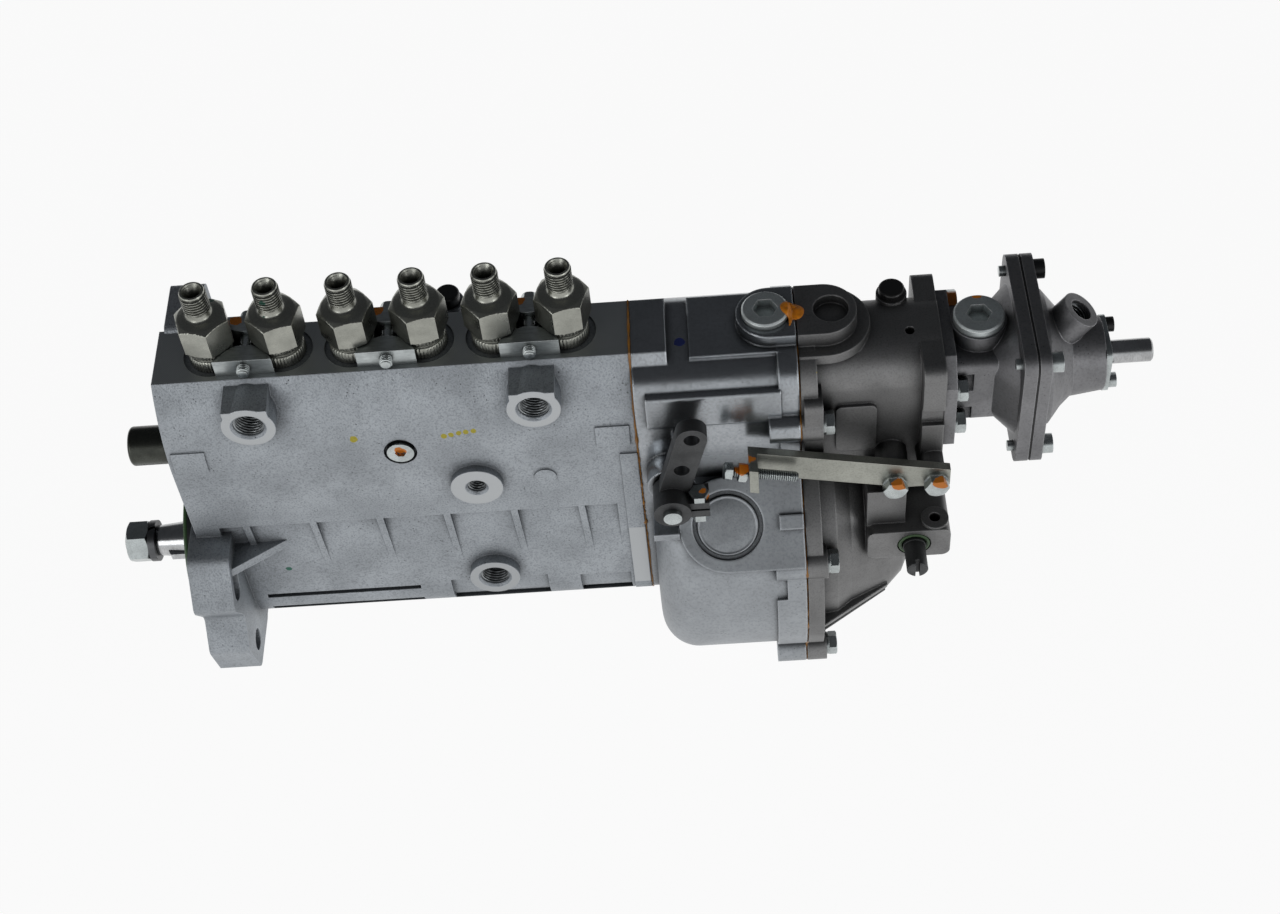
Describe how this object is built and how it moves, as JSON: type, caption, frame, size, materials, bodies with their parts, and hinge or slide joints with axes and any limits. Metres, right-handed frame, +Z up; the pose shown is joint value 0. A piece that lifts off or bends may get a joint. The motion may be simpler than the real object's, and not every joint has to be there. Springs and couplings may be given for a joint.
{
  "type": "diesel injection pump",
  "caption": "In-line diesel injection pump with cam-driven plungers, toothed control rack, flyweight governor, control lever and boost compensator.",
  "frame": {"origin": "on the camshaft axis, in the mounting face of the drive-end flange", "axes": "+X along the camshaft from the drive end to the governor, +Z up along the plungers, -Y towards the side with the fuel ports"},
  "size_m": [0.5003, 0.1412, 0.2486],
  "materials": {
    "cast_housing": "rough cast aluminium, light grey",
    "die_cast": "die-cast aluminium, semi-bright",
    "sand_cast": "sand-cast aluminium, darker grey",
    "zinc_steel": "zinc plated steel",
    "tool_steel": "ground steel",
    "spring_steel": "spring wire",
    "black_steel": "blackened steel",
    "seal_rubber": "seal rubber",
    "gasket_paper": "gasket and sealing bead",
    "cap_plastic": "black protection caps"
  },
  "bodies": {
    "pump": {"pump_housing": "cast_housing", "end_cover": "die_cast", "rubber_seals": "seal_rubber", "bearing_cups": "tool_steel", "roller_tappets": "tool_steel", "spring_plates": "tool_steel", "plunger_springs": "spring_steel", "plunger_barrels": "tool_steel", "rack_cap": "zinc_steel", "rack_screw": "black_steel", "delivery_valves": "tool_steel", "delivery_valve_springs": "spring_steel", "delivery_valve_holders": "zinc_steel", "holder_clamps": "zinc_steel", "clamp_screws": "black_steel", "pump_gasket": "gasket_paper", "governor_housing": "die_cast", "cover_gasket": "gasket_paper", "governor_cover": "sand_cast", "core_plug": "zinc_steel", "deck_plug": "zinc_steel", "stop_bracket": "zinc_steel", "stop_screw": "zinc_steel", "hex_bolts": "zinc_steel", "boost_housing": "die_cast", "boost_plug": "zinc_steel", "boost_cover": "die_cast", "cap_screws": "black_steel", "end_plate": "zinc_steel", "transit_caps": "cap_plastic"},
    "drive": {"camshaft": "tool_steel", "drive_key": "tool_steel", "drive_nut": "zinc_steel", "lock_washer": "spring_steel", "bearing_cones": "tool_steel", "flyweight_carrier": "tool_steel"},
    "weight_1": {"flyweight_1": "tool_steel"},
    "weight_2": {"flyweight_2": "tool_steel"},
    "sleeve": {"governor_sleeve": "tool_steel"},
    "rack": {"control_rack": "tool_steel"},
    "element_1": {"control_sleeve_1": "tool_steel", "plunger_1": "tool_steel"},
    "element_2": {"control_sleeve_2": "tool_steel", "plunger_2": "tool_steel"},
    "element_3": {"control_sleeve_3": "tool_steel", "plunger_3": "tool_steel"},
    "element_4": {"control_sleeve_4": "tool_steel", "plunger_4": "tool_steel"},
    "element_5": {"control_sleeve_5": "tool_steel", "plunger_5": "tool_steel"},
    "element_6": {"control_sleeve_6": "tool_steel", "plunger_6": "tool_steel"},
    "lever": {"speed_lever": "black_steel", "lever_bolt": "zinc_steel", "speed_shaft": "tool_steel"},
    "stop": {"stop_shaft": "black_steel"},
    "boost_rod": {"boost_pin": "tool_steel", "diaphragm": "seal_rubber", "boost_spring": "spring_steel"}
  },
  "joints": [
    {"name": "camshaft_spin", "type": "hinge", "parent": "pump", "child": "drive", "pos_m": [0, 0, 0], "axis": [1, 0, 0], "continuous": true},
    {"name": "weight_1_swing", "type": "hinge", "parent": "drive", "child": "weight_1", "pos_m": [0.24, 0, 0.032], "axis": [0, -1, 0], "range_deg": [0, 18], "stiffness_Nm_per_rad": 1.2, "springref_deg": -8.59},
    {"name": "weight_2_swing", "type": "hinge", "parent": "drive", "child": "weight_2", "pos_m": [0.24, 0, -0.032], "axis": [0, 1, 0], "range_deg": [0, 18], "stiffness_Nm_per_rad": 1.2, "springref_deg": -8.59},
    {"name": "sleeve_slide", "type": "slide", "parent": "drive", "child": "sleeve", "axis": [1, 0, 0], "range_m": [0, 0.00565]},
    {"name": "rack_slide", "type": "slide", "parent": "pump", "child": "rack", "axis": [1, 0, 0], "range_m": [-0.0105, 0.0105]},
    {"name": "element_1_turn", "type": "hinge", "parent": "pump", "child": "element_1", "pos_m": [0.03, 0, 0.093], "axis": [0, 0, 1], "range_deg": [-54.8, 54.8]},
    {"name": "element_2_turn", "type": "hinge", "parent": "pump", "child": "element_2", "pos_m": [0.062, 0, 0.093], "axis": [0, 0, 1], "range_deg": [-54.8, 54.8]},
    {"name": "element_3_turn", "type": "hinge", "parent": "pump", "child": "element_3", "pos_m": [0.094, 0, 0.093], "axis": [0, 0, 1], "range_deg": [-54.8, 54.8]},
    {"name": "element_4_turn", "type": "hinge", "parent": "pump", "child": "element_4", "pos_m": [0.126, 0, 0.093], "axis": [0, 0, 1], "range_deg": [-54.8, 54.8]},
    {"name": "element_5_turn", "type": "hinge", "parent": "pump", "child": "element_5", "pos_m": [0.158, 0, 0.093], "axis": [0, 0, 1], "range_deg": [-54.8, 54.8]},
    {"name": "element_6_turn", "type": "hinge", "parent": "pump", "child": "element_6", "pos_m": [0.19, 0, 0.093], "axis": [0, 0, 1], "range_deg": [-54.8, 54.8]},
    {"name": "control_lever_swing", "type": "hinge", "parent": "pump", "child": "lever", "pos_m": [0.2321, -0.05, 0.072], "axis": [0, 1, 0], "range_deg": [-30, 20]},
    {"name": "stop_shaft_turn", "type": "hinge", "parent": "pump", "child": "stop", "pos_m": [0.344, -0.05, 0.026], "axis": [0, -1, 0], "range_deg": [-40, 40]},
    {"name": "boost_rod_slide", "type": "slide", "parent": "pump", "child": "boost_rod", "axis": [1, 0, 0], "range_m": [-0.0045, 0], "stiffness_N_per_m": 3000, "springref_m": 0.002, "deforming": ["diaphragm", "boost_spring"]}
  ],
  "couplings": [
    {"joint": "weight_1_swing", "follows": "sleeve_slide", "rad_per_m": 55.556},
    {"joint": "weight_2_swing", "follows": "sleeve_slide", "rad_per_m": 55.556},
    {"joint": "element_1_turn", "follows": "rack_slide", "rad_per_m": 90.909},
    {"joint": "element_2_turn", "follows": "rack_slide", "rad_per_m": 90.909},
    {"joint": "element_3_turn", "follows": "rack_slide", "rad_per_m": 90.909},
    {"joint": "element_4_turn", "follows": "rack_slide", "rad_per_m": 90.909},
    {"joint": "element_5_turn", "follows": "rack_slide", "rad_per_m": 90.909},
    {"joint": "element_6_turn", "follows": "rack_slide", "rad_per_m": 90.909}
  ]
}
